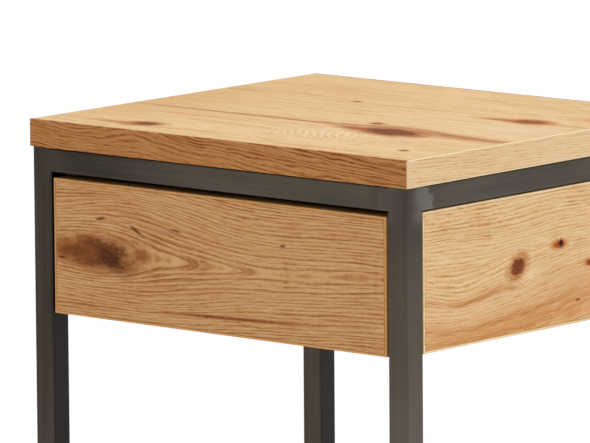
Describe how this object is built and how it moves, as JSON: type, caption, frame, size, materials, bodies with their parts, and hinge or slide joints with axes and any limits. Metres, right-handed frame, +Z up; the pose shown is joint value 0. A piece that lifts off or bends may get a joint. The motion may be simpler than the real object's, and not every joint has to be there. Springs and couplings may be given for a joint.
{
  "type": "side table with drawer",
  "caption": "Small square side table: oak-veneered top, welded square-tube steel legs and rails, and a handleless drawer on ball slides between panels.",
  "frame": {"origin": "on the floor, under the middle of the table", "axes": "+Z up, +Y towards the back, +X to the right of someone facing the drawer; the drawer opens towards -Y"},
  "size_m": [0.5, 0.45, 0.55],
  "materials": {
    "oak_veneer": "knotty oak veneer on board, matte lacquer",
    "oak_edging": "oak edging, matte lacquer",
    "frame_steel": "raw mild steel under clear lacquer, welds ground flush",
    "glide_plastic": "moulded black plastic",
    "beech_dowel": "turned beech",
    "drawer_birch": "birch plywood, clear lacquer",
    "slide_zinc": "bright zinc plate",
    "cage_steel": "plain pressed steel",
    "ball_steel": "polished bearing steel",
    "screw_zinc": "bright zinc plate"
  },
  "bodies": {
    "carcass": {"back_panel": "oak_veneer", "back_panel_edging": "oak_edging", "carcass_dowels": "beech_dowel", "corner_plates": "frame_steel", "dust_floor": "oak_veneer", "dust_floor_edging": "oak_edging", "foot_glide_back_left": "glide_plastic", "foot_glide_back_right": "glide_plastic", "foot_glide_front_left": "glide_plastic", "foot_glide_front_right": "glide_plastic", "hanger_screws": "screw_zinc", "hanger_tabs": "frame_steel", "leg_back_left": "frame_steel", "leg_back_right": "frame_steel", "leg_front_left": "frame_steel", "leg_front_right": "frame_steel", "rail_back": "frame_steel", "rail_front": "frame_steel", "rail_left": "frame_steel", "rail_right": "frame_steel", "side_panel_edging_left": "oak_edging", "side_panel_edging_right": "oak_edging", "side_panel_left": "oak_veneer", "side_panel_right": "oak_veneer", "slide_cabinet_member_left": "slide_zinc", "slide_cabinet_member_right": "slide_zinc", "slide_cabinet_screws_left": "screw_zinc", "slide_cabinet_screws_right": "screw_zinc", "top_board": "oak_veneer", "top_edging_back": "oak_edging", "top_edging_front": "oak_edging", "top_edging_left": "oak_edging", "top_edging_right": "oak_edging", "top_screws": "screw_zinc"},
    "drawer": {"drawer_back": "drawer_birch", "drawer_dowels": "beech_dowel", "drawer_floor": "drawer_birch", "drawer_front": "oak_veneer", "drawer_front_edging": "oak_edging", "drawer_front_screws": "screw_zinc", "drawer_inner_front": "drawer_birch", "drawer_side_left": "drawer_birch", "drawer_side_right": "drawer_birch", "slide_drawer_member_left": "slide_zinc", "slide_drawer_member_right": "slide_zinc", "slide_drawer_screws_left": "screw_zinc", "slide_drawer_screws_right": "screw_zinc"},
    "inner_cage_left": {"slide_inner_balls_left": "ball_steel", "slide_inner_cage_left": "cage_steel"},
    "inner_cage_right": {"slide_inner_balls_right": "ball_steel", "slide_inner_cage_right": "cage_steel"},
    "middle_member_left": {"slide_middle_member_left": "slide_zinc"},
    "middle_member_right": {"slide_middle_member_right": "slide_zinc"},
    "outer_cage_left": {"slide_outer_balls_left": "ball_steel", "slide_outer_cage_left": "cage_steel"},
    "outer_cage_right": {"slide_outer_balls_right": "ball_steel", "slide_outer_cage_right": "cage_steel"}
  },
  "joints": [
    {"name": "drawer_slide", "type": "slide", "parent": "carcass", "child": "drawer", "axis": [0, -1, 0], "range_m": [0, 0.35]},
    {"name": "middle_member_left_slide", "type": "slide", "parent": "carcass", "child": "middle_member_left", "axis": [0, -1, 0], "range_m": [0, 0.175]},
    {"name": "outer_cage_left_slide", "type": "slide", "parent": "carcass", "child": "outer_cage_left", "axis": [0, -1, 0], "range_m": [0, 0.0875]},
    {"name": "inner_cage_left_slide", "type": "slide", "parent": "carcass", "child": "inner_cage_left", "axis": [0, -1, 0], "range_m": [0, 0.2625]},
    {"name": "middle_member_right_slide", "type": "slide", "parent": "carcass", "child": "middle_member_right", "axis": [0, -1, 0], "range_m": [0, 0.175]},
    {"name": "outer_cage_right_slide", "type": "slide", "parent": "carcass", "child": "outer_cage_right", "axis": [0, -1, 0], "range_m": [0, 0.0875]},
    {"name": "inner_cage_right_slide", "type": "slide", "parent": "carcass", "child": "inner_cage_right", "axis": [0, -1, 0], "range_m": [0, 0.2625]}
  ],
  "couplings": [
    {"joint": "middle_member_left_slide", "follows": "drawer_slide", "ratio": 0.5},
    {"joint": "outer_cage_left_slide", "follows": "drawer_slide", "ratio": 0.25},
    {"joint": "inner_cage_left_slide", "follows": "drawer_slide", "ratio": 0.75},
    {"joint": "middle_member_right_slide", "follows": "drawer_slide", "ratio": 0.5},
    {"joint": "outer_cage_right_slide", "follows": "drawer_slide", "ratio": 0.25},
    {"joint": "inner_cage_right_slide", "follows": "drawer_slide", "ratio": 0.75}
  ]
}
